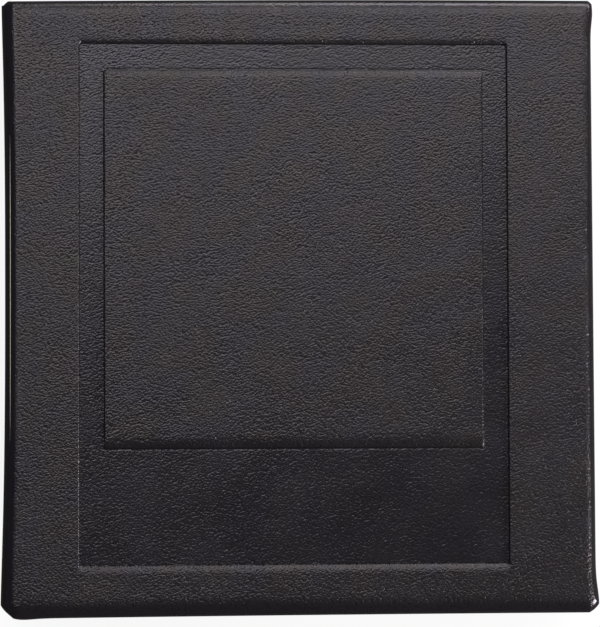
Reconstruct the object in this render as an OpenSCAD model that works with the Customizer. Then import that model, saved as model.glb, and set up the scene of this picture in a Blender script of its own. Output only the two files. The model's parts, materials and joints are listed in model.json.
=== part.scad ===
// Photo album for instant prints, closed, lying on its back cover. Sizes are in millimetres.
// X runs from the spine to the fore edge, Y from the tail to the head and Z up.
// The origin is on the table, under the middle of the album.

/* [Prints] */
// Width of an instant print, which the pockets hold and the pressed frame repeats
print_w = 88; // [54:0.5:108]
// Height of an instant print, which the pockets hold and the pressed frame repeats
print_h = 107; // [86:0.5:120]
// Number of leaves
leaf_count = 8; // [2:2:10]

/* [Covers] */
// Thickness of the two cover boards
board_t = 2; // [1.6:0.1:3]
// Thickness of the leather
leather_t = 0.7; // [0.5:0.05:0.9]
// Thickness of the pastedown papers
paper_t = 0.25; // [0.15:0.05:0.4]
// Leather turned in over the board edges
turn_in = 12; // [8:0.5:18]
// Bare margin of turned-in leather around a pastedown
paper_margin = 4; // [3:0.5:6]
// Width of the soft roll around the face of the front cover
front_roll_w = 3.2; // [2:0.1:4]
// Depth of the soft roll around the face of the front cover
front_roll_h = 2.4; // [1.8:0.1:2.6]
// Width of the roll around the face of the back cover
back_roll_w = 2.4; // [1:0.1:2.4]
// Depth of the roll around the face of the back cover
back_roll_h = 1.8; // [0.8:0.1:1.9]
// Small roll around the inner face of a cover
inner_roll = 0.5; // [0.3:0.05:0.6]
// From the edge of a cover to the edge of its board, where the leather is soft
board_back = 1.5; // [1.2:0.1:2]
// Corner cut off every board and leather corner
corner_nip = 2.2; // [2:0.1:4]

/* [Pressed front] */
// From the spine edge of the cover to the pressed frame
frame_spine_margin = 16; // [12:0.1:24]
// From the pressed frame to the fore edge of the cover
frame_fore_margin = 18.6; // [14:0.1:24]
// From the head of the cover to the pressed frame
frame_head_margin = 9.6; // [7:0.05:16]
// From the pressed frame to the tail of the cover
frame_tail_margin = 10.5; // [7:0.05:16]
// Pressed band between the frame and the spine side of the raised panel
band_spine = 5.2; // [3:0.05:8]
// Pressed band between the frame and the fore side of the raised panel
band_fore = 5.1; // [3:0.05:8]
// Pressed band between the frame and the head of the raised panel
band_head = 5; // [3:0.05:12]
// Pressed band between the frame and the tail of the raised panel
band_tail = 24.4; // [3:0.05:30]
// Thickness of the frame card and the panel card under the leather
card_step = 0.8; // [0.4:0.05:1]
// How far the frame card stays back from the board edges
card_back = 0.6; // [0.4:0.1:3]

/* [Spine] */
// How far the face of the spine lies in from the spine edge of the covers
spine_back = 1.1; // [0:0.1:1.5]
// Thickness of the spine board
spine_board_t = 2; // [1.6:0.1:2.5]
// Thickness of the cloth that lines the spine
lining_t = 0.3; // [0.2:0.05:0.5]
// From the spine lining to the head and tail
lining_margin = 13; // [8:0.5:20]
// Gap between the spine and each cover, which the leather bridges
joint_gap = 0.25; // [0.2:0.05:0.5]

/* [Leaves] */
// Thickness of the black card of a leaf
leaf_card_t = 0.8; // [0.5:0.05:1]
// Thickness of the linen of a leaf hinge
linen_t = 0.2; // [0.15:0.05:0.25]
// Thickness of a clear film
film_t = 0.15; // [0.1:0.05:0.25]
// Thickness of the adhesive strips, which is the depth of a pocket
strip_t = 0.55; // [0.45:0.05:0.7]
// Running gap between two leaves, and between a leaf and a cover
leaf_gap = 0.3; // [0.3:0.05:0.6]
// Width of bare linen between the turning line and the card
hinge_w = 9; // [8:0.5:12]
// Width of linen glued to each side of the card
linen_lap = 5; // [3:0.5:7]
// Gap from the linen to the adhesive strip beside it
lap_gap = 0.3; // [0.2:0.05:0.5]
// Running gap between the turning linen and the foot that it is glued to
root_gap = 0.5; // [0.5:0.05:0.8]
// Distance of a leaf from the fore edge of the covers
fore_square = 3.9; // [2:0.1:4.4]
// Distance of a leaf from the head and from the tail of the covers
end_square = 3.5; // [2:0.1:4]
// Radius of the fore corners of a leaf
leaf_corner = 2.5; // [1:0.5:4]
// Room across a pocket beyond the width of a print
print_ease = 2.3; // [1:0.1:3]
// Height of the adhesive strip that closes a pocket at the tail
tail_strip = 8; // [3:0.5:9]
// Gap between neighbouring adhesive strips
strip_gap = 0.2; // [0.1:0.05:0.4]
// Distance of a film from the head of its card
film_back = 2; // [1:0.5:3]
// Radius of the thumb notch in a film
notch_r = 9; // [6:0.5:12]

/* [Hidden] */
PARTS_FRONT = ["front_board", "front_frame_card", "front_panel_card", "front_leather",
               "front_infill", "front_pastedown"];
PARTS_BACK = ["back_board", "back_leather", "back_infill", "back_pastedown"];
PARTS_SPINE = ["spine_board", "spine_leather", "spine_lining", "leaf_feet"];
PARTS_LEAF = ["card", "linen", "films", "strips"];
$fn = 48;

// Overlap of a cut past the face that it opens
cut = 1;
// Thickness of one slice of a rolled form
slice = 0.01;
// Angle between the slices of a rolled form
roll_step = 15;

// Closed album, from the spine to the fore edge and from the tail to the head
album_w = frame_spine_margin + print_w + frame_fore_margin;
album_h = frame_tail_margin + print_h + frame_head_margin;

// Height of a cover case, without its pastedown, and with it
back_case_t = leather_t + board_t + leather_t;
back_t = back_case_t + paper_t;
front_case_t = leather_t + card_step + board_t + leather_t;
front_t = front_case_t + paper_t;

// Leaves, from the back cover up
leaf_t = leaf_card_t + 2 * (strip_t + film_t);
leaf_pitch = leaf_t + leaf_gap;
block_t = leaf_count * leaf_pitch + leaf_gap;
album_t = back_t + block_t + front_t;
function leaf_z(i) = back_t + leaf_gap + leaf_t / 2 + (i - 1) * leaf_pitch;

// Levels of the front cover, from its inner face up
front_low = album_t - front_case_t;
front_board_low = front_low + leather_t;
front_card_low = front_board_low + board_t;
press_floor = album_t - card_step;

// Spine, from its outer face in
spine_x = spine_back - album_w / 2;
spine_board_x = spine_x + leather_t;
lining_x = spine_board_x + spine_board_t;
feet_x = lining_x + lining_t;
foot_t = 2 * linen_t;
turn_x = feet_x + foot_t + root_gap;
root_x = turn_x - linen_t;
spine_low = back_t + joint_gap;
spine_high = album_t - front_t - joint_gap;

// Leaf, from its turning line to the fore edge
card_x = turn_x + hinge_w;
fore_x = album_w / 2 - fore_square;
film_x = card_x + linen_lap + lap_gap;
film_w = fore_x - film_x;
side_strip = (film_w - print_w - print_ease) / 2;
leaf_h = album_h - 2 * end_square;
film_top = leaf_h / 2 - film_back;

// Lower and upper corner of the pressed frame and of the raised panel
frame_from = [frame_spine_margin - album_w / 2, frame_tail_margin - album_h / 2];
frame_to = frame_from + [print_w, print_h];
panel_from = frame_from + [band_spine, band_tail];
panel_to = frame_to - [band_fore, band_head];

// Outline of a cover, drawn in by inset, with its corners cut
function nipped(inset) =
    let (x = album_w / 2 - inset,
         y = album_h / 2 - inset,
         c = max(corner_nip - inset * (2 - sqrt(2)), slice))
    [[x - c, -y], [x, c - y], [x, y - c], [x - c, y],
     [c - x, y], [-x, y - c], [-x, c - y], [c - x, -y]];

module plate(inset, low, high)
    translate([0, 0, low])
        linear_extrude(high - low)
            polygon(nipped(inset));

// Block between two corners, given as [x, y, z]
module block(low, high)
    translate(low) cube(high - low);

// Rectangle between two corners, grown by margin, from one height to another
module sheet(from, to, margin, low, high)
    block([from.x - margin, from.y - margin, low], [to.x + margin, to.y + margin, high]);

// Leather case of a cover: the outer face is up and has the wide roll
module rolled_form(thick, roll_w, roll_h)
    hull() {
        for (a = [0 : roll_step : 90])
            plate(roll_w * (1 - cos(a)),
                  thick - roll_h * (1 - sin(a)) - slice,
                  thick - roll_h * (1 - sin(a)));
        for (a = [0 : 2 * roll_step : 90])
            plate(inner_roll * (1 - cos(a)),
                  inner_roll * (1 - sin(a)),
                  inner_roll * (1 - sin(a)) + slice);
    }

// Front cover
module front_board()
    color("tan") plate(board_back, front_board_low, front_card_low);

module front_frame_card()
    color("burlywood")
        difference() {
            plate(board_back + card_back, front_card_low, front_card_low + card_step);
            sheet(frame_from, frame_to, leather_t, front_card_low - cut, album_t);
        }

module front_panel_card()
    color("burlywood")
        sheet(panel_from, panel_to, -leather_t, front_card_low, front_card_low + card_step);

module front_infill()
    color("lightgray") plate(turn_in, front_low, front_board_low);

module front_pastedown()
    color([0.14, 0.14, 0.15]) plate(paper_margin, front_low - paper_t, front_low);

// Sunk band between the pressed frame and the raised panel
module pressed_band()
    difference() {
        sheet(frame_from, frame_to, 0, press_floor, album_t + cut);
        sheet(panel_from, panel_to, 0, press_floor - cut, album_t + 2 * cut);
    }

module front_leather()
    color([0.2, 0.19, 0.2])
        difference() {
            translate([0, 0, front_low])
                rolled_form(front_case_t, front_roll_w, front_roll_h);
            front_board();
            front_frame_card();
            front_panel_card();
            plate(turn_in, front_low - cut, front_board_low);
            pressed_band();
        }

// Back cover
module back_board()
    color("tan") plate(board_back, leather_t, leather_t + board_t);

module back_infill()
    color("lightgray") plate(turn_in, leather_t + board_t, back_case_t);

module back_pastedown()
    color([0.14, 0.14, 0.15]) plate(paper_margin, back_case_t, back_t);

module back_leather()
    color([0.2, 0.19, 0.2])
        difference() {
            translate([0, 0, back_case_t]) mirror([0, 0, 1])
                rolled_form(back_case_t, back_roll_w, back_roll_h);
            back_board();
            plate(turn_in, leather_t + board_t, back_case_t + cut);
        }

// Spine
module spine_layer(inset, x_low, x_high)
    intersection() {
        plate(inset, spine_low, spine_high);
        block([x_low, -album_h, 0], [x_high, album_h, album_t]);
    }

module spine_board()
    color("tan") spine_layer(board_back, spine_board_x, lining_x);

module spine_lining()
    color([0.16, 0.16, 0.17])
        block([lining_x, lining_margin - album_h / 2, spine_low],
              [feet_x, album_h / 2 - lining_margin, spine_high]);

module spine_leather()
    color([0.2, 0.19, 0.2])
        difference() {
            spine_layer(0, spine_x, feet_x);
            spine_layer(board_back, spine_board_x, lining_x);
            spine_lining();
        }

// Glued feet of the linen hinges, one for each leaf
module leaf_feet()
    color([0.12, 0.12, 0.13])
        for (i = [1 : leaf_count])
            block([feet_x, -leaf_h / 2, leaf_z(i) - leaf_t / 2 + linen_t],
                  [feet_x + foot_t, leaf_h / 2, leaf_z(i) + leaf_t / 2 - linen_t]);

// Leaves: each one is drawn about its own middle plane
module at_leaf(i)
    translate([0, 0, leaf_z(i)]) children();

module both_faces() {
    children();
    mirror([0, 0, 1]) children();
}

// Sheet from x_low to the fore edge and from the tail to y_high, with its fore corners round
module leaf_sheet(x_low, y_high, low, high)
    translate([0, 0, low])
        linear_extrude(high - low)
            difference() {
                translate([x_low, -leaf_h / 2])
                    square([fore_x - x_low, y_high + leaf_h / 2]);
                translate([fore_x - leaf_corner, y_high - leaf_corner])
                    corner_waste();
                translate([fore_x - leaf_corner, leaf_corner - leaf_h / 2])
                    rotate(-90) corner_waste();
            }

module corner_waste()
    difference() {
        square(leaf_corner + cut);
        circle(leaf_corner);
    }

module leaf_card()
    color([0.1, 0.1, 0.1])
        leaf_sheet(card_x, leaf_h / 2, -leaf_card_t / 2, leaf_card_t / 2);

// Folded linen: doubled at the turning line, then opened to grip the card from both faces
module leaf_linen()
    color([0.12, 0.12, 0.13])
        difference() {
            union() {
                block([root_x, -leaf_h / 2, -linen_t],
                      [card_x, leaf_h / 2, linen_t]);
                block([card_x - 2 * linen_t, -leaf_h / 2, -leaf_card_t / 2 - linen_t],
                      [card_x + linen_lap, leaf_h / 2, leaf_card_t / 2 + linen_t]);
            }
            block([card_x, -album_h, -leaf_card_t / 2], [album_w, album_h, leaf_card_t / 2]);
        }

module leaf_films()
    color([0.8, 0.85, 0.9, 0.4])
        both_faces()
            difference() {
                leaf_sheet(film_x, film_top, leaf_card_t / 2 + strip_t, leaf_t / 2);
                translate([film_x + film_w / 2, film_top, 0])
                    cylinder(r = notch_r, h = leaf_t);
            }

// Adhesive strips: a U around each pocket, open at the head
module leaf_strips()
    color("dimgray")
        both_faces() {
            block([film_x, -leaf_h / 2, leaf_card_t / 2],
                  [film_x + side_strip, film_top, leaf_card_t / 2 + strip_t]);
            leaf_sheet(fore_x - side_strip, film_top, leaf_card_t / 2, leaf_card_t / 2 + strip_t);
            block([film_x + side_strip + strip_gap, -leaf_h / 2, leaf_card_t / 2],
                  [fore_x - side_strip - strip_gap, tail_strip - leaf_h / 2,
                   leaf_card_t / 2 + strip_t]);
        }

front_board();
front_frame_card();
front_panel_card();
front_leather();
front_infill();
front_pastedown();
back_board();
back_leather();
back_infill();
back_pastedown();
spine_board();
spine_leather();
spine_lining();
leaf_feet();
for (i = [1 : leaf_count]) {
    at_leaf(i) leaf_card();
    at_leaf(i) leaf_linen();
    at_leaf(i) leaf_films();
    at_leaf(i) leaf_strips();
}
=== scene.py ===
"""Album for instant prints, bound in black grained leather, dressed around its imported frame."""
import json
import math
from functools import cached_property

import bpy
import numpy as np
from bpy.props import FloatProperty, FloatVectorProperty, PointerProperty
from mathutils import Euler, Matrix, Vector

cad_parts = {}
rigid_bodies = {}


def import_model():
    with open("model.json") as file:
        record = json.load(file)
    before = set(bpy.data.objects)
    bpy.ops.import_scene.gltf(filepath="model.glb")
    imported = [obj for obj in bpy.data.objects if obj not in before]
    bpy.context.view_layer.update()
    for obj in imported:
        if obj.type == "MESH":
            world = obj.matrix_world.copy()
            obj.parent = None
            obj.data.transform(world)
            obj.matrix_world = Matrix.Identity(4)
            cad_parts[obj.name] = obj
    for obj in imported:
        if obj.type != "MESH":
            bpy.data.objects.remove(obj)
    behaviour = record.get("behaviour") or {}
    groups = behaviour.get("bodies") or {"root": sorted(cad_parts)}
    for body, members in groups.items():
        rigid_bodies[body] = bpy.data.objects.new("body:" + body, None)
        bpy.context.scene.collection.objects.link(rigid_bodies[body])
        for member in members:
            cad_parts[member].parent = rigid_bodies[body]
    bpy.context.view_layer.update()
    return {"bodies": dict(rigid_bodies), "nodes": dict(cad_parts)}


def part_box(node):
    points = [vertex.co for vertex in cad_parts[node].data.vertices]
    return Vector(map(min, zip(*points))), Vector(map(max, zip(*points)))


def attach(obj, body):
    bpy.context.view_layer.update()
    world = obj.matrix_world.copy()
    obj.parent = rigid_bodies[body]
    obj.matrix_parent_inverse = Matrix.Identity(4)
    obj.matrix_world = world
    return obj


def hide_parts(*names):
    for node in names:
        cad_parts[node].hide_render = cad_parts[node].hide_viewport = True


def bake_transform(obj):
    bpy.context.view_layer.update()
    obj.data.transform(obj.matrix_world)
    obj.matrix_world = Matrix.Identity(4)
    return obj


bl_info = {
    "name": "Instant Photo Album",
    "version": (1, 0, 0),
    "blender": (4, 5, 0),
    "location": "View3D > Sidebar > Album",
    "description": "Leather, linen, card and film of an album for instant prints",
    "category": "Object",
}

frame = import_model()
MM = 0.001

# Places taken from the frame, in metres
CASE_LOW, CASE_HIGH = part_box("front_leather")
BACK_LOW, BACK_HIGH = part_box("back_leather")
BOARD_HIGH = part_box("front_board")[1]
CARD_LOW, CARD_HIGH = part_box("front_frame_card")
PANEL_LOW, PANEL_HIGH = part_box("front_panel_card")
INFILL_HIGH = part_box("front_infill")[1]
SPINE_LOW, SPINE_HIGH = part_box("spine_leather")
SPINE_BOARD_LOW, SPINE_BOARD_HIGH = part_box("spine_board")
LINING_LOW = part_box("spine_lining")[0]
FEET_LOW, FEET_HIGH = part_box("leaf_feet")
LEAF_BODIES = sorted(b for b in frame["bodies"] if b.startswith("leaf_"))

HALF_W = CASE_HIGH.x
HALF_H = CASE_HIGH.y
TOP = CASE_HIGH.z
LEATHER = CASE_HIGH.z - CARD_HIGH.z
STEP = CARD_HIGH.z - CARD_LOW.z
BOARD_BACK = HALF_W - BOARD_HIGH.x
COVER_T = CASE_HIGH.z - CASE_LOW.z
BACK_T = BACK_HIGH.z - BACK_LOW.z
SPINE_FACE = SPINE_LOW.x

# Rectangles hold low x, high x, low y and high y: the spine, fore, tail and head sides
OUTLINE = np.array([-HALF_W, HALF_W, -HALF_H, HALF_H])
OUTWARD = np.array([-1, 1, -1, 1])

# The pressed frame has the size of a print, and the panel is its picture
MARGINS = np.array([16.0, 18.6, 10.5, 9.6]) * MM
PRESS = OUTLINE - OUTWARD * MARGINS
PANEL = np.array([PANEL_LOW.x, PANEL_HIGH.x, PANEL_LOW.y, PANEL_HIGH.y]) + OUTWARD * LEATHER

# The camera looks down from above the spine and the tail, a few degrees off the vertical
LENS_MM = 168.7
CAMERA_PLACE = np.array([-34.87, -23.96, 628.4]) * MM
CAMERA_TURN = Euler(np.radians([2.155, -3.313, -0.227]), "XYZ")

# Light from all around, a little cool
WORLD_COLOUR = (0.97, 0.93, 1.1, 1)

# Points along each side of a cover's rings, and those of them in each half corner
SIDE_POINTS = 80
CORNER_POINTS = 8
CROWDING = 0.7  # share of the cosine in their spacing

EDGE_ZONE = 9.0  # width in mm of the zone in which a cover's side leaves the straight line
CORNER_CUT = 0.65  # how far a corner of an edge is cut straight, 0 round and 1 a chord
CORNER_PULL = 0.55  # how much a corner's radius shrinks with the distance from the outline
INNER_ROLL = 0.5 * MM  # radius between a cover's side and its inner face
INNER_CORNER = 0.2 * MM  # corner radius of the skin against boards and cards
BESIDE_ROLL = 0.4 * MM  # width of the leather beside a spine side's roll that is stretched and darkened with it, the darkening painted shade


def smooth(t):
    """Clipped t, eased as 3t^2 - 2t^3."""
    t = np.clip(t, 0.0, 1.0)
    return t * t * (3 - 2 * t)


def ring_points(rects, radii, chord):
    """Closed loops around rectangles with cut corners, as an array (rings, 4 * SIDE_POINTS, 2).

    rects holds low x, high x, low y and high y, and radii the four corners from spine and tail on,
    counterclockwise. Along a side, the distance from the corner runs evenly through the corner and
    then as a mix of a straight ramp and a cosine, so points crowd at the corners. In a corner the
    point is a mix of the round arc and its straight chord.
    """
    rects, radii = np.atleast_2d(rects), np.atleast_2d(radii)
    chord = np.broadcast_to(np.asarray(chord, float), len(rects))[:, None, None]
    low_x, high_x, low_y, high_y = rects.T
    corners = np.stack([np.stack([low_x, low_y], 1), np.stack([high_x, low_y], 1),
                        np.stack([high_x, high_y], 1), np.stack([low_x, high_y], 1)], 1)
    along = np.array([[1, 0], [0, 1], [-1, 0], [0, -1]], float)
    inward = np.array([[0, 1], [-1, 0], [0, -1], [1, 0]], float)
    j = np.arange(SIDE_POINTS)
    middle = np.clip((j - CORNER_POINTS) / (SIDE_POINTS - 2 * CORNER_POINTS), 0, 1)
    middle = (1 - CROWDING) * middle + CROWDING * (0.5 - 0.5 * np.cos(np.pi * middle))
    loops = []
    for side in range(4):
        start, end = radii[:, side][:, None], radii[:, (side + 1) % 4][:, None]
        length = np.linalg.norm(corners[:, (side + 1) % 4] - corners[:, side], axis=1)[:, None]
        s = start + (length - start - end) * middle
        s = np.where(j < CORNER_POINTS, start * j / CORNER_POINTS, s)
        last = SIDE_POINTS - j
        s = np.where(last < CORNER_POINTS, length - end * last / CORNER_POINTS, s)
        d, n = along[side], inward[side]
        near = s < length / 2
        r = np.where(near, start, end)
        to_corner = np.minimum(np.where(near, s, length - s), r)
        share = to_corner / np.maximum(r, 1e-9)
        angle = np.pi / 4 * (1 - share)
        arc_along, arc_in = r * (1 - np.sin(angle)), r * (1 - np.cos(angle))
        cut_along, cut_in = r / 2 + to_corner / 2, r / 2 * (1 - share)
        mixed_along = arc_along + (cut_along - arc_along) * chord[:, :, 0]
        mixed_in = arc_in + (cut_in - arc_in) * chord[:, :, 0]
        past = np.where(near, s, length - s) - to_corner + mixed_along
        run = np.where(near, past, length - past)
        base = corners[:, side][:, None, :]
        loops.append(base + run[..., None] * d + mixed_in[..., None] * n)
    return np.concatenate(loops, 1)


def cap_grid(loop):
    """Inner points of a four-sided patch: each is the sum of the two ruled blends of its
    opposite sides, less the blend of its four corners."""
    n = SIDE_POINTS
    bottom, right = loop[:n + 1], loop[n:2 * n + 1]
    top = loop[2 * n:3 * n + 1][::-1]
    left = np.concatenate([loop[3 * n:], loop[:1]])[::-1]
    u = np.linspace(0, 1, n + 1)[None, :, None]
    v = np.linspace(0, 1, n + 1)[:, None, None]
    ruled = (1 - v) * bottom[None] + v * top[None] + (1 - u) * left[:, None] + u * right[:, None]
    corner = ((1 - u) * (1 - v) * loop[0] + u * (1 - v) * loop[n]
              + u * v * loop[2 * n] + (1 - u) * v * loop[3 * n])
    return (ruled - corner)[1:-1, 1:-1].reshape(-1, 3)


def cap_quads(ring_start, grid_start):
    """Index quads of a cap: the ring's points around the outside and the grid's inside."""
    n = SIDE_POINTS
    index = np.zeros((n + 1, n + 1), int)
    index[1:-1, 1:-1] = grid_start + np.arange((n - 1) ** 2).reshape(n - 1, n - 1)
    ring = ring_start + np.arange(4 * n)
    index[0, :] = ring[:n + 1]
    index[:, n] = ring[n:2 * n + 1]
    index[n, :] = ring[2 * n:3 * n + 1][::-1]
    index[:, 0] = np.concatenate([ring[3 * n:], ring[:1]])[::-1]
    return np.stack([index[:-1, :-1], index[:-1, 1:], index[1:, 1:], index[1:, :-1]],
                    -1).reshape(-1, 4)


def enclosed(points, quads):
    """Volume inside a mesh of quads: the sum of the boxes that each triangle spans with the origin,
    divided by six. It is negative where the faces point inwards."""
    total = 0.0
    for b, c in ((1, 2), (2, 3)):
        cross = np.cross(points[quads[:, b]], points[quads[:, c]])
        total += (points[quads[:, 0]] * cross).sum()
    return total / 6


def make_object(name, points, quads, ends=(), crease=40):
    """Mesh object from points, quads and end faces, turned so that its faces point outwards.

    It is smooth except where faces meet at more than the crease angle.
    """
    points, quads = np.asarray(points), np.asarray(quads)
    fans = [np.array([[end[0], end[i], end[i + 1], end[i + 1]] for i in range(1, len(end) - 1)])
            for end in ends]
    if enclosed(points - points.mean(0), np.concatenate([quads, *fans])) < 0:
        quads, ends = quads[:, ::-1], [end[::-1] for end in ends]
    mesh = bpy.data.meshes.new(name)
    mesh.from_pydata(points.tolist(), [], quads.tolist() + [list(end) for end in ends])
    mesh.update()
    mesh.shade_smooth()
    mesh.set_sharp_from_angle(angle=math.radians(crease))
    obj = bpy.data.objects.new(name, mesh)
    bpy.context.scene.collection.objects.link(obj)
    return obj


def ring_shell(name, rings):
    """Closed shell: quads between neighbouring rings, and a grid cap on the first and the last."""
    count, around = rings.shape[:2]
    flat = rings.reshape(-1, 3)
    first, last = cap_grid(rings[0]), cap_grid(rings[-1])
    j = np.arange(around)
    k = np.arange(count - 1)[:, None] * around
    quads = np.stack([k + j, k + around + j, k + around + (j + 1) % around, k + (j + 1) % around],
                     -1).reshape(-1, 4)
    start = len(flat)
    front = cap_quads(0, start)
    rear = cap_quads((count - 1) * around, start + len(first))[:, ::-1]
    quads = np.concatenate([front, quads, rear])
    return make_object(name, np.concatenate([flat, first, last]), quads)


def closed_tube(name, sections, crease=40):
    """Closed solid: quads between neighbouring cross-sections, and one face on each end."""
    count, around = sections.shape[:2]
    j = np.arange(around)
    k = np.arange(count - 1)[:, None] * around
    quads = np.stack([k + j, k + (j + 1) % around, k + around + (j + 1) % around, k + around + j],
                     -1).reshape(-1, 4)
    ends = [list(range(around))[::-1], list(range((count - 1) * around, count * around))]
    return make_object(name, sections.reshape(-1, 3), quads, ends, crease)


def point_attribute(obj, name, values):
    """Writes one number for each vertex, which the leather's material reads."""
    attribute = obj.data.attributes.new(name, "FLOAT", "POINT")
    attribute.data.foreach_set("value", np.asarray(values, np.float32))


# Outline of the leather covers. A hand-bound cover isn't quite straight.
def lean(points, follow=1.0):
    """Shift of points in the plane, so that the outline is the bound cover's own.

    Each side's shift is a formula of the place along it: the spine side bows in between its ends
    by a power of the distance from the middle, the others slope or bow a little, and the leather
    folded at a corner adds a bell-shaped bulge. All of them are in millimetres. A shift fades to
    nothing EDGE_ZONE from the side, by the smooth step.
    """
    x, y = points[..., 0] / MM, points[..., 1] / MM
    half_w, half_h = HALF_W / MM, HALF_H / MM
    to_spine, to_fore, to_tail, to_head = (
        smooth(1 - past / EDGE_ZONE) for past in (x + half_w, half_w - x, y + half_h, half_h - y))
    spine = 1.33 - np.abs((y - 3) / 60) ** 2.6
    fore = (-0.52 - 0.0022 * y + 0.4 * np.exp(-((y - 61) / 3) ** 2)
            + 0.65 * np.exp(-((y + 61.5) / 4.5) ** 2))
    tail = (0.35 + 0.0035 * x - 0.00003 * x ** 2 - 0.25 * np.exp(-((x + 57) / 3.5) ** 2)
            + 0.35 * np.exp(-((x + 59.6) / 1.6) ** 2))
    head = -0.225 + 0.0053 * x - 0.00006 * x ** 2
    moved = points.copy()
    moved[..., 0] += follow * (spine * to_spine + fore * to_fore) * MM
    moved[..., 1] += follow * (tail * to_tail + head * to_head) * MM
    return moved


def grown(rect, by):
    """Rectangle grown by a distance, or by one distance for each side."""
    return rect + OUTWARD * by


class Profile:
    """List of rings from the middle of the outer face to the middle of the inner one."""

    def __init__(self):
        self.rects, self.depths, self.radii, self.chords = [], [], [], []
        self.follows, self.pressed, self.stretched = [], [], []

    def add(self, rect, depth, radii, chord=0.0, follow=1.0, pressed=0.0, stretched=0.0):
        """Adds a ring: its rectangle, depth under the outer face, corner radii, how straight its
        corners are cut, how far it follows the outline's lean, and the leather's two marks."""
        self.rects.append(np.array(rect, float))
        self.depths.append(depth)
        self.radii.append(np.broadcast_to(radii, 4).astype(float))
        self.chords.append(chord)
        self.follows.append(follow)
        self.pressed.append(pressed)
        self.stretched.append(stretched)

    def rings(self, outer, sign):
        """Loops of all rings: outer is the height of the outer face and sign points inwards."""
        plane = ring_points(np.array(self.rects), np.array(self.radii), np.array(self.chords))
        plane = lean(plane, np.array(self.follows)[:, None])
        depth = np.array(self.depths)[:, None]
        height = outer + sign * np.broadcast_to(depth, plane.shape[:2])
        return np.concatenate([plane, height[..., None]], -1)

    def mark(self, skin, joint):
        """Gives the skin how far its leather is pressed, and stretched over an edge. The pressed
        mark also darkens the leather's colour, which is painted shade.

        Both rise to one by the smooth step, from the joint's line to half a millimetre beyond it,
        so the leather beside the spine side's roll gets that painted shade as well.
        """
        x = np.zeros(len(skin.data.vertices) * 3)
        skin.data.vertices.foreach_get("co", x)
        beside = smooth((joint - x[::3]) / (0.5 * MM))
        for name, rings in (("pressed", self.pressed), ("stretched", self.stretched)):
            values = np.zeros(len(beside))
            values[:len(rings) * 4 * SIDE_POINTS] = np.repeat(rings, 4 * SIDE_POINTS)
            point_attribute(skin, name, np.maximum(values, beside))


def cover_corners(shape):
    """Corner radii of both covers, from spine and tail on, counterclockwise."""
    return np.array([shape.corner_spine_tail, shape.corner_fore_tail,
                     shape.corner_fore_head, shape.corner_spine_head])


def corner_at(inset, corner):
    """Corner radii of a ring drawn in by inset from the outline, one inset or one for each side.

    Each radius shrinks by CORNER_PULL times the mean inset of its two sides.
    """
    inset = np.broadcast_to(inset, 4)
    beside = np.array([[0, 2], [1, 2], [1, 3], [0, 3]])
    return np.maximum(corner - inset[beside].mean(1) * CORNER_PULL, 0.15 * MM)


# Angles of the rings around a roll, and how much the leather is stretched at each
ROLL_STEPS = np.radians(np.linspace(0, 90, 15))
ROLL_STRETCH = smooth((ROLL_STEPS - 0.2) / 0.5)


def curve(rise, power):
    """Run of a superellipse, the root of one less a power of the rise: a quarter circle at 2,
    nearly a straight bevel at 1, and a wall with a soft top above 2."""
    return (1 - rise ** power) ** (1 / power)


def roll_and_turn_in(profile, roll_w, roll_h, power, corner, case_t, board_top):
    """Rings over the soft roll, down the side, under the turned-in leather and back up inside.

    The roll is a quarter superellipse with its own width and power on each side. The inner surface
    follows the board: in from the turned-in edge, out to the board's edge and up to its top.
    """
    for a, stretched in zip(ROLL_STEPS, ROLL_STRETCH):
        inset = roll_w * (1 - curve(math.cos(a), power))
        profile.add(grown(OUTLINE, -inset), roll_h * (1 - math.cos(a)),
                    corner_at(inset, corner), CORNER_CUT, stretched=stretched)
    for depth in np.linspace(roll_h, case_t - INNER_ROLL, 5)[1:]:
        profile.add(OUTLINE, depth, corner, CORNER_CUT, stretched=1.0)
    for a in np.radians(np.linspace(0, 90, 6))[1:]:
        inset = INNER_ROLL * (1 - math.cos(a))
        profile.add(grown(OUTLINE, -inset), case_t - INNER_ROLL * (1 - math.sin(a)),
                    corner_at(inset, corner), CORNER_CUT)
    turn_in = HALF_W - INFILL_HIGH.x
    for inset in np.linspace(INNER_ROLL, turn_in, 9)[1:]:
        profile.add(grown(OUTLINE, -inset), case_t, corner_at(inset, corner), CORNER_CUT)
    inner = np.maximum(corner - BOARD_BACK, INNER_CORNER)
    profile.add(grown(OUTLINE, -turn_in), case_t - LEATHER, INNER_CORNER)
    for depth in (case_t - LEATHER, board_top):
        profile.add(grown(OUTLINE, -BOARD_BACK), depth, inner, chord=1.0, follow=0.0)


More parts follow.
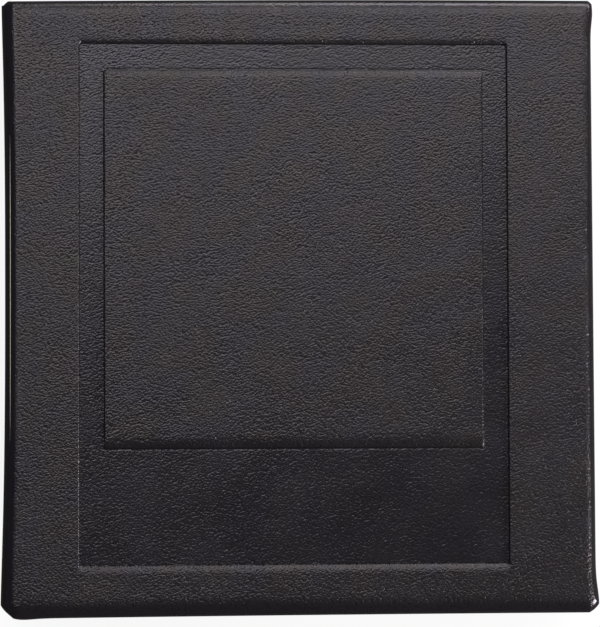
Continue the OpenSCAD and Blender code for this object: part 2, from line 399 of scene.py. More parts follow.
def front_profile(shape):
    """Front cover: raised panel, sunk band, raised border, roll and turned-in edge.

    The panel's wall is a quarter of a circle across and a power of one less the cosine down. The
    frame's wall is a quarter superellipse across and one less the sine down.
    """
    profile = Profile()
    sunk_corner, foot = 0.5 * MM, 0.2 * MM
    panel_roll = np.array([shape.panel_roll_sides, shape.panel_roll_sides,
                           shape.panel_roll_tail, shape.panel_roll_head])
    frame_roll = np.array([shape.frame_roll_spine, shape.frame_roll_fore,
                           shape.frame_roll_tail, shape.frame_roll_head])
    frame_power = np.array([2, 2, 1.9, 3])
    soft_corner = sunk_corner + frame_roll.max() / 2
    # the leather stands off the cards by a little more or less on each side
    panel = grown(PANEL, np.array([0.1, 0.2, 0.4, -0.35]) * MM)
    press = grown(PRESS, np.array([-0.25, 0.0, -0.3, 0.0]) * MM)
    # Each ring's pressed mark also darkens the leather's colour, painted shade that is deepest in
    # the sunk band and its groove and lighter at the panel's edge and walls
    for inset, pressed in ((4.0 * MM, 0.0), (3.3 * MM, 0.35)):
        profile.add(grown(panel, -np.maximum(inset, panel_roll)), 0.0, sunk_corner,
                    pressed=pressed)
    for a in np.radians(np.linspace(0, 90, 12)):
        inset = panel_roll * (1 - math.sin(a))
        profile.add(grown(panel, -inset), STEP * (1 - math.cos(a)) ** 1.1, sunk_corner,
                    pressed=0.35 + 0.15 * math.sin(a))
    for out in (foot / 2, foot):
        profile.add(grown(panel, out), STEP + shape.groove, sunk_corner, pressed=0.8)
    profile.add(grown(panel, 2 * foot), STEP, sunk_corner, pressed=1.0)
    a, b = grown(panel, 3 * foot), grown(press, -3 * foot)
    for share in np.linspace(0, 1, 10):
        profile.add(a + (b - a) * share, STEP, sunk_corner, pressed=1.0)
    for out, pressed in ((2 * foot, 1.0), (foot, 0.7)):
        profile.add(grown(press, -out), STEP, sunk_corner, pressed=pressed)
    for a in np.radians(np.linspace(0, 90, 12)):
        out = frame_roll * (1 - curve(math.sin(a), frame_power))
        profile.add(grown(press, out), STEP * (1 - math.sin(a)),
                    sunk_corner + (soft_corner - sunk_corner) * (1 - math.cos(a)))
    roll_w = np.array([shape.roll_spine, shape.roll_fore, shape.roll_tail, shape.roll_head])
    a, b = grown(press, frame_roll), grown(OUTLINE, -roll_w)
    corner = cover_corners(shape)
    edge_corner = corner_at(roll_w, corner)
    for share in np.linspace(0, 1, 9)[1:-1]:
        profile.add(a + (b - a) * share, 0.0, soft_corner + (edge_corner - soft_corner) * share,
                    CORNER_CUT * share)
    card_top, board_top = LEATHER, LEATHER + STEP
    power = np.array([shape.spine_power, 2, 2, 2])
    roll_and_turn_in(profile, roll_w, shape.roll_depth, power, corner, COVER_T, board_top)
    edge = grown(OUTLINE, CARD_HIGH.x - HALF_W)
    window, middle = grown(PRESS, LEATHER), grown(PANEL, -LEATHER)
    for rect, depth in ((edge, board_top), (edge, card_top), (window, card_top),
                        (window, board_top), (middle, board_top), (middle, card_top)):
        profile.add(rect, depth, INNER_CORNER)
    return profile


def back_profile(shape):
    """Back cover: one plain face, roll and turned-in edge."""
    profile = Profile()
    for inset in (30 * MM, 20 * MM, 12 * MM, 6 * MM):
        profile.add(grown(OUTLINE, -inset), 0.0, 0.3 * MM)
    roll_and_turn_in(profile, np.full(4, shape.back_roll), shape.back_roll_depth, np.full(4, 2.0),
                     cover_corners(shape), BACK_T, LEATHER)
    profile.add(grown(OUTLINE, -20 * MM), LEATHER, INNER_CORNER)
    return profile


def joint_strip(name, shape, roll_w, roll_h, power, case_t, outer, sign):
    """Leather over the joint: one profile carried along the spine side.

    The profile leaves the cover's face, follows its roll and its side, crosses to the spine's face
    by the smooth step and ends there. Its outer side stands off by a squared half sine, so both
    ends run out to nothing, and a power of the cosine along the strip thins it at the head and the
    tail.
    """
    lap = 6
    inset = np.concatenate([np.linspace(shape.joint_lap, 0.1 * MM, lap) + roll_w,
                            roll_w * (1 - curve(np.cos(ROLL_STEPS), power)), np.zeros(4)])
    depth = np.concatenate([np.zeros(lap), roll_h * (1 - np.cos(ROLL_STEPS)),
                            np.linspace(roll_h, case_t, 5)[1:]])
    across = np.linspace(0, 1, 12)[1:]
    to_spine = smooth(across / 0.45)
    end_depth = case_t + shape.joint_lap + 3.5 * MM
    low, high = shape.joint_tail - HALF_H, HALF_H - shape.joint_head
    half_turn = np.linspace(-np.pi / 2, np.pi / 2, 97)
    y = low + (high - low) * (0.5 + 0.5 * np.sin(half_turn))
    plane = np.zeros((len(y), len(inset), 2))
    plane[..., 0] = -HALF_W + inset
    plane[..., 1] = y[:, None]
    plane = lean(plane)
    x = np.concatenate([plane[..., 0], plane[:, -1:, 0] * (1 - to_spine)
                        + SPINE_FACE * to_spine], 1)
    d = np.concatenate([depth, case_t + (end_depth - case_t) * across])
    z = np.broadcast_to(outer + sign * d, x.shape)
    lift = np.sin(np.linspace(0, np.pi, x.shape[1])) ** 2
    fade = np.clip(np.cos(half_turn), 0, 1)[:, None] ** 0.8
    dx, dz = np.gradient(x, axis=1), np.gradient(z, axis=1)
    norm = np.sqrt(dx * dx + dz * dz)
    nx, nz = -sign * dz / norm, sign * dx / norm
    rise = 0.02 * MM + shape.joint_rise * lift * fade
    sink = 0.12 * MM * lift * fade
    yy = np.broadcast_to(y[:, None], x.shape)
    floor = 0.03 * MM
    outside = np.stack([x + nx * rise, yy, np.maximum(z + nz * rise, floor)], -1)
    inside = np.stack([x - nx * sink, yy, np.maximum(z - nz * sink, 2 * floor)], -1)
    strip = closed_tube(name, np.concatenate([outside, inside[:, ::-1]], 1))
    # Painted shade: from halfway along the lap on, the strip's pressed mark darkens its colour over
    # the roll, the side and the joint
    wear_and_shade = smooth((np.arange(x.shape[1]) - lap / 2) / (lap / 2))
    stretched = np.ones(x.shape[1])
    stretched[:lap + len(ROLL_STEPS)] = np.concatenate([np.zeros(lap), ROLL_STRETCH])
    for mark, values in (("pressed", wear_and_shade), ("stretched", stretched)):
        point_attribute(strip, mark, np.tile(np.concatenate([values, values[::-1]]), len(y)))
    return strip


def rounded_box(name, low, high, radius):
    """Bar along Y with round edges: each cross-section is a rectangle with arcs at its corners, and
    towards both ends it is drawn in along a quarter circle."""
    a = np.radians(np.linspace(0, 90, 7))
    past = radius * (1 - np.cos(a))
    y = np.concatenate([low[1] + past, high[1] - past[::-1]])
    draw_in = radius * (1 - np.sin(np.concatenate([a, a[::-1]])))[:, None]
    arc = np.radians(np.linspace(0, 90, 6))
    turn = np.concatenate([arc + q * np.pi / 2 for q in range(4)])
    side_x = np.repeat([1, 0, 0, 1], len(arc))
    side_z = np.repeat([1, 1, 0, 0], len(arc))
    x = np.where(side_x, high[0] - radius, low[0] + radius) + (radius - draw_in) * np.cos(turn)
    z = np.where(side_z, high[2] - radius, low[2] + radius) + (radius - draw_in) * np.sin(turn)
    yy = np.broadcast_to(y[:, None], x.shape)
    return closed_tube(name, np.stack([x, yy, z], -1))


def leaf_guard(name, body):
    """Folded linen that hangs one leaf: a cross-section carried from tail to head.

    Both feet leave the spine, come together at the turning line, run doubled to the card and part
    again to grip it. Each bend is eased by the smooth step.
    """
    linen_low, linen_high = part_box(body + "_linen")
    card_low, card_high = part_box(body + "_card")
    films_low, films_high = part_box(body + "_films")
    middle = (card_low.z + card_high.z) / 2
    half_card = (card_high.z - card_low.z) / 2
    grip = (linen_high.z - linen_low.z) / 2
    cloth = grip - half_card
    foot = (films_high.z - films_low.z) / 2 - cloth
    t = np.linspace(0, 1, 9)
    x = np.concatenate([
        FEET_LOW.x + (linen_low.x - FEET_LOW.x) * t,
        linen_low.x + (card_low.x - 2 * cloth - linen_low.x) * t[1:],
        card_low.x - 2 * cloth * (1 - t[1:]),
        card_low.x + (linen_high.x - card_low.x) * t[1:]])
    outside = np.concatenate([
        cloth + (foot - cloth) * (1 - smooth(t * 1.15)), np.full(len(t) - 1, cloth),
        cloth + (grip - cloth) * smooth(t[1:]), np.full(len(t) - 1, grip)])
    inner_x = np.array([linen_high.x, card_low.x, card_low.x, linen_high.x])
    inner_z = np.array([half_card, half_card, -half_card, -half_card])
    # the cut edge of the lap is drawn in a little, so that it reads as cloth
    outside[-1] -= cloth * 0.5
    loop_x = np.concatenate([x, inner_x, x[::-1]])
    loop_z = middle + np.concatenate([outside, inner_z, -outside[::-1]])
    y = np.linspace(linen_low.y, linen_high.y, 9)
    shape = (len(y), len(loop_x))
    sections = np.stack([np.broadcast_to(loop_x, shape), np.broadcast_to(y[:, None], shape),
                         np.broadcast_to(loop_z, shape)], -1)
    return closed_tube(name, sections, crease=35)


class Finish:
    """Node tree of one material or world, with a short call for each kind of node in it."""

    def __init__(self, name, kind="materials", end="ShaderNodeOutputMaterial"):
        self.block = getattr(bpy.data, kind).new(name)
        self.block.use_nodes = True
        self.tree = self.block.node_tree
        self.tree.nodes.clear()
        self.output = self.add(end)

    @cached_property
    def coords(self):
        """Coordinates of the object itself, from a node that is made when they are first used."""
        return self.add("ShaderNodeTexCoord").outputs["Object"]

    def add(self, kind, inputs=None, **settings):
        """New node with its settings, and its inputs set to a number or linked to a socket."""
        node = self.tree.nodes.new(kind)
        for key, value in settings.items():
            setattr(node, key, value)
        for key, value in (inputs or {}).items():
            if isinstance(value, bpy.types.NodeSocket):
                self.tree.links.new(value, node.inputs[key])
            else:
                node.inputs[key].default_value = value
        return node

    def math(self, operation, a, b=0.0):
        """One operation on two values."""
        return self.add("ShaderNodeMath", {0: a, 1: b}, operation=operation).outputs[0]

    def span(self, value, low, high, to_low=0.0, to_high=1.0):
        """The value's place between low and high, eased by the smooth step, on a new scale."""
        node = self.add("ShaderNodeMapRange", {"Value": value, "From Min": low, "From Max": high,
                                               "To Min": to_low, "To Max": to_high},
                        interpolation_type="SMOOTHSTEP")
        return node.outputs["Result"]

    def mix(self, share, a, b, blend="MIX"):
        """Two colours mixed by a share."""
        node = self.add("ShaderNodeMix", {0: share, 6: a, 7: b}, data_type="RGBA",
                        blend_type=blend)
        return node.outputs[2]

    def place(self, turn, size, vector=None):
        """Coordinates in cells of the given size, turned about Z."""
        node = self.add("ShaderNodeMapping", {"Vector": vector or self.coords,
                                              "Rotation": (0, 0, turn), "Scale": size},
                        vector_type="TEXTURE")
        return node.outputs[0]

    def noise(self, vector, scale=1.0, detail=2.0, roughness=0.5, colour=False):
        """Soft noise of one value, or of three as a colour."""
        node = self.add("ShaderNodeTexNoise", {"Vector": vector, "Scale": scale, "Detail": detail,
                                               "Roughness": roughness})
        return node.outputs["Color" if colour else "Fac"]

    def warped(self, vector, amount, scale):
        """Coordinates shifted by a noise."""
        shift = self.noise(vector, scale, 1.0, colour=True)
        shift = self.add("ShaderNodeVectorMath", {0: shift, 1: (0.5, 0.5, 0.5)},
                         operation="SUBTRACT").outputs[0]
        shift = self.add("ShaderNodeVectorMath", {0: shift, "Scale": amount},
                         operation="SCALE").outputs[0]
        return self.add("ShaderNodeVectorMath", {0: vector, 1: shift}, operation="ADD").outputs[0]

    def bump(self, height, distance):
        """Normal of a surface raised by a height between 0 and 1 times the distance."""
        return self.add("ShaderNodeBump", {"Height": height, "Distance": distance,
                                           "Strength": 1.0}).outputs[0]

    def surface(self, **inputs):
        """Ends the tree in one principled shader and returns the material."""
        named = {key.replace("_", " ").title().replace("Ior", "IOR"): value
                 for key, value in inputs.items()}
        shader = self.add("ShaderNodeBsdfPrincipled", named)
        self.tree.links.new(shader.outputs[0], self.output.inputs["Surface"])
        return self.block


def shade(colour, by=1.0):
    """Colour made lighter or darker by a factor, with full alpha."""
    return (*[c * by for c in colour], 1)


def leather(look):
    """Black hide: small cells parted by creases, drawn out and turned by slow waves in the hide,
    and faint stains. A cell's dome is the square of the distance from its middle. The grain is
    flatter in the pressed band and on stretched edges. The colour is darker in the creases, which
    is painted shade, and darker in the pressed band and beside the spine side's roll, also painted
    shade."""
    f = Finish("grained_leather")
    pressed = f.add("ShaderNodeAttribute", attribute_name="pressed").outputs["Fac"]
    stretched = f.add("ShaderNodeAttribute", attribute_name="stretched").outputs["Fac"]
    size, turn = look.grain_size, math.radians(16)
    drawn = f.warped(f.coords, look.grain_drift, 85.0)
    soft = f.warped(drawn, size * 0.5, 1.0 / size)
    cell = f.place(turn, (size * 1.15, size * 0.9, size), soft)
    reach = f.add("ShaderNodeTexVoronoi", {"Vector": cell, "Scale": 1.0},
                  feature="F1").outputs["Distance"]
    dome = f.math("MULTIPLY", reach, reach)
    crease = f.span(dome, 0.6, 0.2)
    ridge = f.noise(f.place(turn, (size * 1.1, size * 0.8, size), soft), detail=0.0)
    height = f.math("SUBTRACT", f.math("MULTIPLY", ridge, look.ridge), dome)
    calm = f.math("MULTIPLY", f.span(pressed, 0.0, 1.0, 1.0, look.pressed_grain),
                  f.span(stretched, 0.0, 1.0, 1.0, 0.3))
    # the fore edge is held the most, and its grain is rubbed down
    across = f.add("ShaderNodeSeparateXYZ", {0: f.coords}).outputs["X"]
    calm = f.math("MULTIPLY", calm, f.span(across, -HALF_W, HALF_W, 1.2, 0.85))
    height = f.math("MULTIPLY", height, calm)
    normal = f.bump(height, look.grain_depth)
    stain = f.noise(f.place(0.3, (0.006, 0.005, 0.006)), detail=1.5, colour=True)
    warm = f.span(f.noise(f.place(0.9, (0.0095, 0.007, 0.007)), detail=0.5), 0.35, 0.65)
    hue = f.mix(warm, shade(look.cool_gloss), shade(look.warm_gloss))
    hue = f.mix(look.stain, hue, stain, "SOFT_LIGHT")
    hue = f.mix(f.span(pressed, 0.5, 1.0, 0.0, 0.7), hue, shade(look.pressed_tint))
    # Painted shade: towards the edges of the cells the colour turns to the darker crease colour
    base = f.mix(crease, shade(look.crease_shade_colour), shade(look.leather_colour))
    # Painted shade: the pressed mark darkens the colour by up to a half, in the sunk band, on the
    # panel's walls and beside the spine side's roll
    base = f.mix(f.span(pressed, 0.0, 1.0, 0.0, 0.5), base, (0, 0, 0, 1))
    wear_and_shade = f.noise(f.place(0.0, (0.014, 0.011, 0.012)), detail=2.0)
    rough = f.span(wear_and_shade, 0.3, 0.7, look.roughness - 0.03, look.roughness + 0.03)
    rough = f.math("SUBTRACT", rough, f.math("MULTIPLY", pressed, look.pressed_gloss))
    rough = f.math("SUBTRACT", rough, f.math("MULTIPLY", stretched, look.stretched_gloss))
    gloss = f.span(pressed, 0.0, 1.0, look.gloss, look.gloss * 1.15)
    return f.surface(base_color=base, roughness=rough, normal=normal, ior=1.5,
                     specular_ior_level=gloss, specular_tint=hue)


def weave(name, colour, thread, sheen):
    """Plain weave: two crossed bands of threads, over and under in turn like a chessboard."""
    f = Finish(name)
    split = f.add("ShaderNodeSeparateXYZ", {0: f.coords})
    wave = math.pi / thread
    warp = f.math("SINE", f.math("MULTIPLY", split.outputs["X"], wave))
    weft = f.math("SINE", f.math("MULTIPLY", split.outputs["Y"], wave))
    over = f.math("MULTIPLY", warp, weft)
    height = f.math("MULTIPLY", f.math("ABSOLUTE", over), 0.8)
    slub = f.noise(f.place(0.0, (thread * 2, thread * 14, thread * 2)), detail=2.0)
    height = f.math("ADD", height, f.math("MULTIPLY", slub, 0.5))
    # The colour follows the height: darker along the gaps between the threads, as painted shade,
    # and lighter on the threads' crowns, as painted light; the slubs add their own tone
    base = f.mix(f.span(height, 0.1, 1.1), shade(colour, 0.6), shade(colour, 1.5))
    return f.surface(base_color=base, roughness=0.85, normal=f.bump(height, thread * 0.35),
                     sheen_weight=sheen, sheen_roughness=0.5)


def fibre_board(name, colour, fleck, size, depth, roughness=0.8):
    """Card or board: short fibres pressed flat, with darker and lighter flecks."""
    f = Finish(name)
    fibre = f.noise(f.warped(f.place(0.3, (size * 3, size, size)), 0.8, 0.7), detail=3.0,
                    roughness=0.6)
    cloud = f.noise(f.place(0.0, (size * 14, size * 14, size * 14)), detail=2.0)
    share = f.math("ADD", f.math("MULTIPLY", fibre, 0.7), f.math("MULTIPLY", cloud, 0.5))
    base = f.mix(f.span(share, 0.35, 0.85), shade(fleck), shade(colour))
    rough = f.span(fibre, 0.3, 0.7, roughness - 0.06, roughness + 0.06)
    return f.surface(base_color=base, roughness=rough, normal=f.bump(fibre, depth))


def laid_paper(name, colour, pitch):
    """Laid paper: fine parallel lines from the mould, crossed by wide chain lines, and fibres."""
    f = Finish(name)
    split = f.add("ShaderNodeSeparateXYZ", {0: f.warped(f.coords, 0.0002, 60.0)})
    laid = f.math("SINE", f.math("MULTIPLY", split.outputs["Y"], 2 * math.pi / pitch))
    chain = f.math("SINE", f.math("MULTIPLY", split.outputs["X"], 2 * math.pi / (pitch * 24)))
    chain = f.span(chain, 0.93, 1.0)
    fibre = f.noise(f.place(0.5, (0.0012, 0.0003, 0.0003)), detail=3.0)
    height = f.math("ADD", f.math("MULTIPLY", laid, 0.3), f.math("MULTIPLY", chain, 0.5))
    height = f.math("ADD", height, fibre)
    # The colour follows the height of the laid lines, chain lines and fibres: their pattern is the
    # paper's own, and the darker troughs and lighter ridges are painted shade and painted light
    base = f.mix(f.span(height, 0.1, 1.0), shade(colour, 0.65), shade(colour, 1.4))
    return f.surface(base_color=base, roughness=0.88, normal=f.bump(height, 0.00004))


def clear_film(name):
    """Clear film of the pockets: nearly all light passes, with soft handling marks in its gloss."""
    f = Finish(name)
    mark = f.noise(f.place(0.6, (0.012, 0.003, 0.01)), detail=3.0)
    ripple = f.noise(f.place(0.2, (0.03, 0.018, 0.03)), detail=1.0)
    f.block.surface_render_method = "BLENDED"
    return f.surface(base_color=(0.86, 0.88, 0.9, 1), roughness=f.span(mark, 0.35, 0.75, 0.06, 0.2),
                     normal=f.bump(ripple, 0.0006), alpha=0.2, ior=1.5)


def tape(name, colour):
    """Black double-sided tape: smooth, with a faint grain along it."""
    f = Finish(name)
    streak = f.noise(f.place(0.0, (0.0006, 0.006, 0.0006)), detail=2.0)
    return f.surface(base_color=f.mix(streak, shade(colour), shade(colour, 1.5)),
                     roughness=f.span(streak, 0.3, 0.7, 0.4, 0.55), normal=f.bump(streak, 0.00002))


def dress(material, *nodes):
    """Gives carried-over parts their finish."""
    for name in nodes:
        part = frame["nodes"][name]
        part.data.materials.clear()
        part.data.materials.append(material)


def metres(description, default, low, high):
    """Property that holds a distance in metres."""
    return FloatProperty(description=description, default=default, min=low, max=high,
                         unit="LENGTH")


def number(description, default, low=0, high=1):
    """Property that holds a share, a power or another plain number."""
    return FloatProperty(description=description, default=default, min=low, max=high)


def tint(description, default):
    """Property that holds a colour in linear red, green and blue."""
    return FloatVectorProperty(description=description, default=default, size=3,
                               subtype="COLOR", min=0, max=1)


def lamp_size(description, default):
    """Property that holds both sides of a lamp in metres."""
    return FloatVectorProperty(description=description, default=default, size=2, min=0.01, max=3)


def spot(description, default):
    """Property that holds a place in metres."""
    return FloatVectorProperty(description=description, default=default, size=3, subtype="XYZ")


class AlbumShape(bpy.types.PropertyGroup):
    """Soft edges and corners of the covers"""

    roll_spine: metres("Width of the front cover's soft edge at the spine", 0.0026, 0.001, 0.004)
    roll_fore: metres("Width of the front cover's soft edge at the fore edge", 0.0024, 0.001, 0.004)
    roll_head: metres("Width of the front cover's soft edge at the head", 0.0034, 0.001, 0.005)
    roll_tail: metres("Width of the front cover's soft edge at the tail", 0.0042, 0.001, 0.005)
    spine_power: number("Shape of the roll at the spine, 2 round and 1 a bevel", 1.3, 1.1, 3)
    roll_depth: metres("Depth of the front cover's soft edge", 0.0024, 0.001, 0.003)
    back_roll: metres("Width of the back cover's soft edge", 0.0024, 0.001, 0.003)
    back_roll_depth: metres("Depth of the back cover's soft edge", 0.0018, 0.001, 0.0024)
    corner_spine_tail: metres("Cut of the cover corner at spine and tail", 0.0027, 0.001, 0.004)
    corner_fore_tail: metres("Cut of the cover corner at fore edge and tail", 0.0019, 0.001, 0.004)
    corner_fore_head: metres("Cut of the cover corner at fore edge and head", 0.0008, 0.0005, 0.004)
    corner_spine_head: metres("Cut of the cover corner at spine and head", 0.0014, 0.001, 0.004)
    panel_roll_sides: metres(
        "Width of the roll at both sides of the raised panel", 0.0005, 0.0003, 0.004)
    panel_roll_tail: metres(
        "Width of the roll at the tail of the raised panel", 0.0028, 0.0005, 0.004)
    panel_roll_head: metres(
        "Width of the roll at the head of the raised panel", 0.0017, 0.0005, 0.004)
    frame_roll_spine: metres(
        "Width of the roll at the spine side of the pressed frame", 0.0004, 0.0003, 0.003)
    frame_roll_fore: metres(
        "Width of the roll at the fore side of the pressed frame", 0.0004, 0.0003, 0.003)
    frame_roll_head: metres(
        "Width of the roll at the head of the pressed frame", 0.0019, 0.0005, 0.003)
    frame_roll_tail: metres(
        "Width of the roll at the tail of the pressed frame", 0.0018, 0.0005, 0.003)
    groove: metres("Depth of the crease at the foot of the raised panel", 0.00004, 0, 0.0004)
    joint_lap: metres(
        "How far the joint leather runs onto the face of a cover", 0.0015, 0.0005, 0.003)
    joint_rise: metres(
        "Thickness of the joint leather outside the cover's edge", 0.0003, 0.0001, 0.001)
    joint_tail: metres("From the end of the joint leather to the tail", 0.0027, 0.001, 0.006)
    joint_head: metres("From the end of the joint leather to the head", 0.0017, 0.0005, 0.006)


class AlbumLook(bpy.types.PropertyGroup):
    """Colours and grain of the materials"""

    leather_colour: tint("Colour of the leather", (0.0066, 0.0054, 0.0062))
    # Painted shade in the grain's creases: the leather turns to this colour at the edges of its
    # cells
    crease_shade_colour: tint("Colour of the leather in its creases", (0.0036, 0.003, 0.0034))
    roughness: number("Roughness of the leather", 0.31, 0.1, 1)
    gloss: number("Strength of the reflection on the leather", 0.42)
    pressed_gloss: number("How much smoother the pressed band is", 0.02, 0, 0.4)
    stretched_gloss: number("How much smoother the leather on the edges is", 0.1, 0, 0.2)
    pressed_grain: number("Share of the grain's depth left in the pressed band", 0.6)
    grain_size: metres("Length of one pebble of the grain", 0.00044, 0.0003, 0.004)
    grain_depth: metres("Depth of the creases of the grain", 0.0001, 0, 0.001)
    ridge: number("Share of uneven ridges in the grain", 0.3, 0, 4)
    grain_drift: metres("How far slow waves draw the grain out and turn it", 0.002, 0, 0.02)
    cool_gloss: tint("Tint of the reflection in the cool patches", (0.94, 0.885, 1.0))
    warm_gloss: tint("Tint of the reflection in the warm patches", (1.0, 0.895, 0.9))
    pressed_tint: tint("Tint of the reflection in the pressed band", (0.93, 0.88, 1.0))
    stain: number("Strength of the faint brown, green and purple patches", 0.45)
    linen_colour: tint("Colour of the leaf linen", (0.02, 0.02, 0.021))
    cloth_colour: tint("Colour of the cloth that lines the spine", (0.022, 0.022, 0.024))
    card_colour: tint("Colour of the leaf card", (0.016, 0.016, 0.017))
    board_colour: tint("Colour of the cover boards", (0.3, 0.27, 0.22))
    paper_colour: tint("Colour of the pastedown paper", (0.024, 0.024, 0.026))


class AlbumStage(bpy.types.PropertyGroup):
    """Floor, lamps and camera"""

    top_power: number("Power of the lamp above the album", 1.95, 0, 50)
    top_size: lamp_size("Both sides of the lamp above the album", (0.85, 0.18))
    top_place: spot("Where the lamp above the album hangs", (-0.03, 0.22, 0.5))
    head_power: number("Power of the lamp beyond the head", 0.45, 0, 50)
    head_size: lamp_size("Both sides of the lamp beyond the head", (0.5, 0.2))
    head_place: spot("Where the lamp beyond the head stands", (-0.03, 0.26, 0.3))
    low_power: number("Power of the low lamp far beyond the head", 4.5, 0, 50)
    low_size: lamp_size("Both sides of the low lamp", (1.0, 0.2))
    low_place: spot("Where the low lamp stands", (0.35, 0.52, 0.2))
    fore_power: number("Power of the small low lamp beyond the fore edge", 5.5, 0, 50)
    fore_size: lamp_size("Both sides of the lamp beyond the fore edge", (0.25, 0.18))
    fore_place: spot("Where the lamp beyond the fore edge stands", (0.5, -0.3, 0.24))
    world_level: number("Level of the light from all around", 0.175)
    table: number("Grey of the table that the album's sides reflect", 0.12)
    floor_shadow: number("Share of real shading in the floor as the camera sees it", 0.14)


def settings():
    """The three groups of values that the operators read."""
    scene = bpy.context.scene
    return scene.album_shape, scene.album_look, scene.album_stage


def leather_material():
    """The leather of all covers, made once."""
    name = "grained_leather"
    return bpy.data.materials.get(name) or leather(settings()[1])


def linen_material():
    """The linen of all leaves, made once."""
    name = "leaf_linen"
    return bpy.data.materials.get(name) or weave(name, settings()[1].linen_colour, 0.00032, 0.25)


class ALBUM_OT_front_leather(bpy.types.Operator):
    """Leather of the front cover, with the pressed frame and the raised panel"""

    bl_idname = "album.front_leather"
    bl_label = "Front leather"

    def execute(self, context):
        shape = settings()[0]
        profile = front_profile(shape)
        skin = ring_shell("front_cover_leather", profile.rings(TOP, -1))
        profile.mark(skin, shape.roll_spine + BESIDE_ROLL - HALF_W)
        skin.data.materials.append(leather_material())
        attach(skin, "front_cover")
        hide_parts("front_leather")
        return {"FINISHED"}


class ALBUM_OT_back_leather(bpy.types.Operator):
    """Leather of the back cover"""

    bl_idname = "album.back_leather"
    bl_label = "Back leather"

    def execute(self, context):
        shape = settings()[0]
        profile = back_profile(shape)
        skin = ring_shell("back_cover_leather", profile.rings(BACK_LOW.z, 1))
        profile.mark(skin, shape.back_roll + BESIDE_ROLL - HALF_W)
        skin.data.materials.append(leather_material())
        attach(skin, "back_cover")
        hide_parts("back_leather")
        return {"FINISHED"}


class ALBUM_OT_spine_leather(bpy.types.Operator):
    """Leather over the spine board, and the leather of both joints"""

    bl_idname = "album.spine_leather"
    bl_label = "Spine leather"

    def execute(self, context):
        shape = settings()[0]
        past = 0.35 * MM
        low = Vector((SPINE_FACE, SPINE_BOARD_LOW.y - past, SPINE_LOW.z))
        high = Vector((LINING_LOW.x + 0.05 * MM, SPINE_BOARD_HIGH.y + past, SPINE_HIGH.z))
        skin = rounded_box("spine_skin", low, high, 0.7 * MM)
        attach(skin, "spine")
        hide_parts("spine_leather")
        front = joint_strip("front_joint", shape, shape.roll_spine, shape.roll_depth,
                            shape.spine_power, COVER_T, TOP, -1)
        back = joint_strip("back_joint", shape, shape.back_roll, shape.back_roll_depth, 2.0, BACK_T,
                           BACK_LOW.z, 1)
        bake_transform(front)
        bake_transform(back)
        for piece in (skin, front, back):
            piece.data.materials.append(leather_material())
        return {"FINISHED"}


class ALBUM_OT_leaf_guards(bpy.types.Operator):
    """Folded linen that hangs each leaf on the spine"""

    bl_idname = "album.leaf_guards"
    bl_label = "Leaf guards"

    def execute(self, context):
        for body in LEAF_BODIES:
            guard = leaf_guard(body.replace("leaf", "leaf_guard"), body)
            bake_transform(guard)
            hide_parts(body + "_linen", *(["leaf_feet"] if body == LEAF_BODIES[0] else []))
            guard.data.materials.append(linen_material())
        return {"FINISHED"}


class ALBUM_OT_boards(bpy.types.Operator):
    """Finishes of the boards, cards, papers and cloth inside the covers"""

    bl_idname = "album.boards"
    bl_label = "Boards and papers"

    def execute(self, context):
        look = settings()[1]
        board = fibre_board("grey_board", look.board_colour, (0.16, 0.14, 0.12), 0.0005, 0.00005)
        dress(board, "front_board", "back_board", "spine_board")
        card = fibre_board("frame_card", (0.45, 0.4, 0.33), (0.34, 0.3, 0.24), 0.0004, 0.00002)
        dress(card, "front_frame_card", "front_panel_card")
        infill = fibre_board("infill_paper", (0.55, 0.53, 0.5), (0.42, 0.4, 0.38), 0.0004, 0.00002)
        dress(infill, "front_infill", "back_infill")
        paper = laid_paper("black_laid_paper", look.paper_colour, 0.0011)
        dress(paper, "front_pastedown", "back_pastedown")
        cloth = weave("book_cloth", look.cloth_colour, 0.00045, 0.1)
        dress(cloth, "spine_lining")
        return {"FINISHED"}


class ALBUM_OT_leaves(bpy.types.Operator):
    """Finishes of the leaf cards, their films and their adhesive strips"""

    bl_idname = "album.leaves"
    bl_label = "Leaves"

    def execute(self, context):
        look = settings()[1]
        card = fibre_board("black_card", look.card_colour, tuple(c * 1.7 for c in look.card_colour),
                           0.0004, 0.00003, roughness=0.72)
        film, strip = clear_film("clear_film"), tape("black_tape", (0.018, 0.018, 0.019))
        for body in LEAF_BODIES:
            dress(card, body + "_card")
            dress(film, body + "_films")
            dress(strip, body + "_strips")
        return {"FINISHED"}


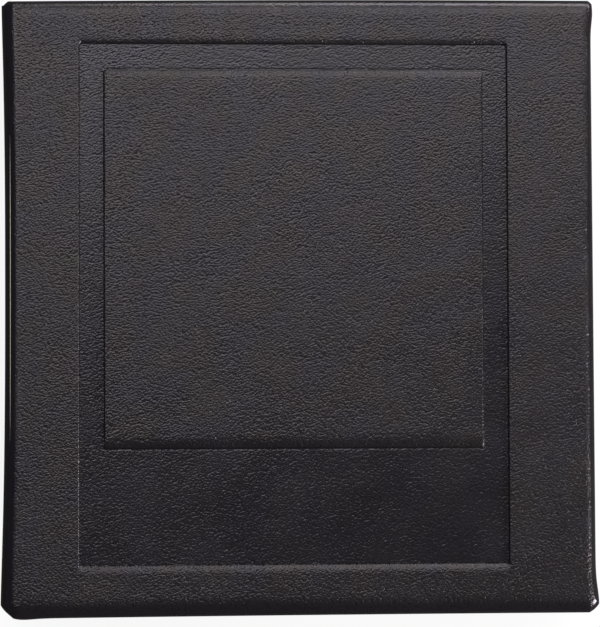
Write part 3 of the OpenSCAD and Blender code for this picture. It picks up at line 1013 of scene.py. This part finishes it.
class ALBUM_OT_stage(bpy.types.Operator):
    """White floor, soft lamps, world and camera"""

    bl_idname = "album.stage"
    bl_label = "Stage"

    def execute(self, context):
        stage = settings()[2]
        scene = bpy.context.scene
        bpy.ops.mesh.primitive_plane_add(size=6)
        floor = bpy.context.object
        floor.name = "floor"
        f = Finish("white_floor")
        pale = f.add("ShaderNodeBsdfDiffuse", {"Color": (0.8, 0.8, 0.8, 1)})
        white = f.add("ShaderNodeEmission", {"Color": (1, 1, 1, 1), "Strength": 1.0})
        table = f.add("ShaderNodeBsdfDiffuse", {"Color": shade([stage.table] * 3)})
        shown = f.add("ShaderNodeMixShader", {0: 1 - stage.floor_shadow, 1: pale.outputs[0],
                                              2: white.outputs[0]})
        seen = f.add("ShaderNodeLightPath").outputs["Is Camera Ray"]
        both = f.add("ShaderNodeMixShader", {0: seen, 1: table.outputs[0], 2: shown.outputs[0]})
        f.tree.links.new(both.outputs[0], f.output.inputs["Surface"])
        floor.data.materials.append(f.block)

        for name, power, size, place in (
                ("top_lamp", stage.top_power, stage.top_size, stage.top_place),
                ("head_lamp", stage.head_power, stage.head_size, stage.head_place),
                ("low_lamp", stage.low_power, stage.low_size, stage.low_place),
                ("fore_lamp", stage.fore_power, stage.fore_size, stage.fore_place)):
            lamp = bpy.data.objects.new(name, bpy.data.lights.new(name, "AREA"))
            lamp.data.energy = power
            lamp.data.shape = "RECTANGLE"
            lamp.data.size, lamp.data.size_y = size
            lamp.location = place
            lamp.rotation_euler = Vector(place).to_track_quat("Z", "Y").to_euler()
            scene.collection.objects.link(lamp)

        f = Finish("studio", "worlds", "ShaderNodeOutputWorld")
        around = f.add("ShaderNodeBackground", {"Color": WORLD_COLOUR,
                                                "Strength": stage.world_level})
        behind = f.add("ShaderNodeBackground", {"Color": (1, 1, 1, 1)})
        seen = f.add("ShaderNodeLightPath").outputs["Is Camera Ray"]
        both = f.add("ShaderNodeMixShader", {0: seen, 1: around.outputs[0], 2: behind.outputs[0]})
        f.tree.links.new(both.outputs[0], f.output.inputs["Surface"])
        scene.world = f.block

        camera = bpy.data.objects.new("camera", bpy.data.cameras.new("camera"))
        camera.data.lens, camera.data.sensor_width = LENS_MM, 36
        camera.data.clip_start, camera.data.clip_end = 0.01, 20
        camera.location = CAMERA_PLACE
        camera.rotation_euler = CAMERA_TURN
        scene.collection.objects.link(camera)
        scene.camera = camera
        scene.view_settings.view_transform = "Standard"
        return {"FINISHED"}


class ALBUM_PT_panel(bpy.types.Panel):
    """Lists the steps and sizes of the album"""

    bl_label = "Instant Photo Album"
    bl_idname = "ALBUM_PT_panel"
    bl_space_type = "VIEW_3D"
    bl_region_type = "UI"
    bl_category = "Album"

    def draw(self, context):
        for step in STEPS:
            self.layout.operator(step.bl_idname)
        for group in settings():
            box = self.layout.box()
            for name in group.__annotations__:
                box.prop(group, name, text=name.replace("_", " ").capitalize())


STEPS = (ALBUM_OT_front_leather, ALBUM_OT_back_leather, ALBUM_OT_spine_leather,
         ALBUM_OT_leaf_guards, ALBUM_OT_boards, ALBUM_OT_leaves, ALBUM_OT_stage)
GROUPS = {"album_shape": AlbumShape, "album_look": AlbumLook, "album_stage": AlbumStage}


def register():
    for cls in (*GROUPS.values(), *STEPS, ALBUM_PT_panel):
        bpy.utils.register_class(cls)
    for name, group in GROUPS.items():
        setattr(bpy.types.Scene, name, PointerProperty(type=group))


def unregister():
    for name in GROUPS:
        delattr(bpy.types.Scene, name)
    for cls in (ALBUM_PT_panel, *STEPS[::-1], *reversed(list(GROUPS.values()))):
        bpy.utils.unregister_class(cls)


def main():
    register()
    for step in STEPS:
        group, name = step.bl_idname.split(".")
        getattr(getattr(bpy.ops, group), name)()


if __name__ == "__main__":
    main()
